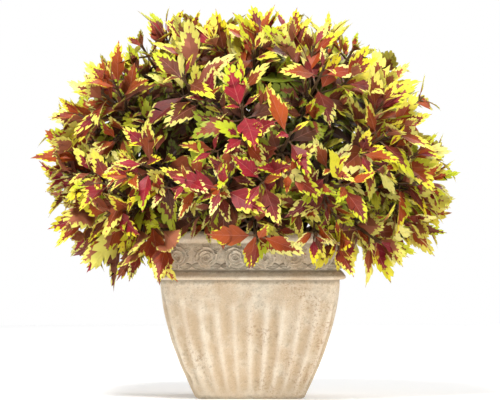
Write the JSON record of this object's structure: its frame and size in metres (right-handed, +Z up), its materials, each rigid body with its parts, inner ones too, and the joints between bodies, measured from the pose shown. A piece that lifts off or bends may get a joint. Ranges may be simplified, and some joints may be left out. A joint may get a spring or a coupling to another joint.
{
  "type": "potted coleus",
  "caption": "Full rounded mound of toothed crimson and yellow-green coleus leaves in a square tapered stone planter with fluted sides, a rolled bead and a frieze of roses.",
  "frame": {"origin": "middle of the planter's flat underside, on the ground", "axes": "+Z up along the planter's axis, X and Y square to its sides, with the side the picture shows facing -Y"},
  "size_m": [0.6709, 0.673, 0.6228],
  "materials": {
    "cast_stone": "weathered matt, fine pits and stains",
    "potting_soil": "loose crumb, matt",
    "coleus_foliage": "soft satin, crimson centres with yellow-green toothed margins"
  },
  "bodies": {
    "root": {"planter": "cast_stone", "soil": "potting_soil", "leafy_stem_01": "coleus_foliage", "leafy_stem_02": "coleus_foliage", "leafy_stem_03": "coleus_foliage", "leafy_stem_04": "coleus_foliage", "leafy_stem_05": "coleus_foliage", "leafy_stem_06": "coleus_foliage", "leafy_stem_07": "coleus_foliage", "leafy_stem_08": "coleus_foliage", "leafy_stem_09": "coleus_foliage", "leafy_stem_10": "coleus_foliage", "leafy_stem_11": "coleus_foliage", "leafy_stem_12": "coleus_foliage", "leafy_stem_13": "coleus_foliage", "leafy_stem_14": "coleus_foliage", "leafy_stem_15": "coleus_foliage", "leafy_stem_16": "coleus_foliage", "leafy_stem_17": "coleus_foliage", "leafy_stem_18": "coleus_foliage", "leafy_stem_19": "coleus_foliage", "leafy_stem_20": "coleus_foliage", "leafy_stem_21": "coleus_foliage", "leafy_stem_22": "coleus_foliage", "leafy_stem_23": "coleus_foliage", "leafy_stem_24": "coleus_foliage", "leafy_stem_25": "coleus_foliage", "leafy_stem_26": "coleus_foliage", "leafy_stem_27": "coleus_foliage", "leafy_stem_28": "coleus_foliage", "leafy_stem_29": "coleus_foliage", "leafy_stem_30": "coleus_foliage", "leafy_stem_31": "coleus_foliage", "leafy_stem_32": "coleus_foliage", "leafy_stem_33": "coleus_foliage", "leafy_stem_34": "coleus_foliage", "leafy_stem_35": "coleus_foliage", "leafy_stem_36": "coleus_foliage", "leafy_stem_37": "coleus_foliage", "leafy_stem_38": "coleus_foliage", "leafy_stem_39": "coleus_foliage", "leafy_stem_40": "coleus_foliage", "leafy_stem_41": "coleus_foliage"}
  },
  "joints": []
}
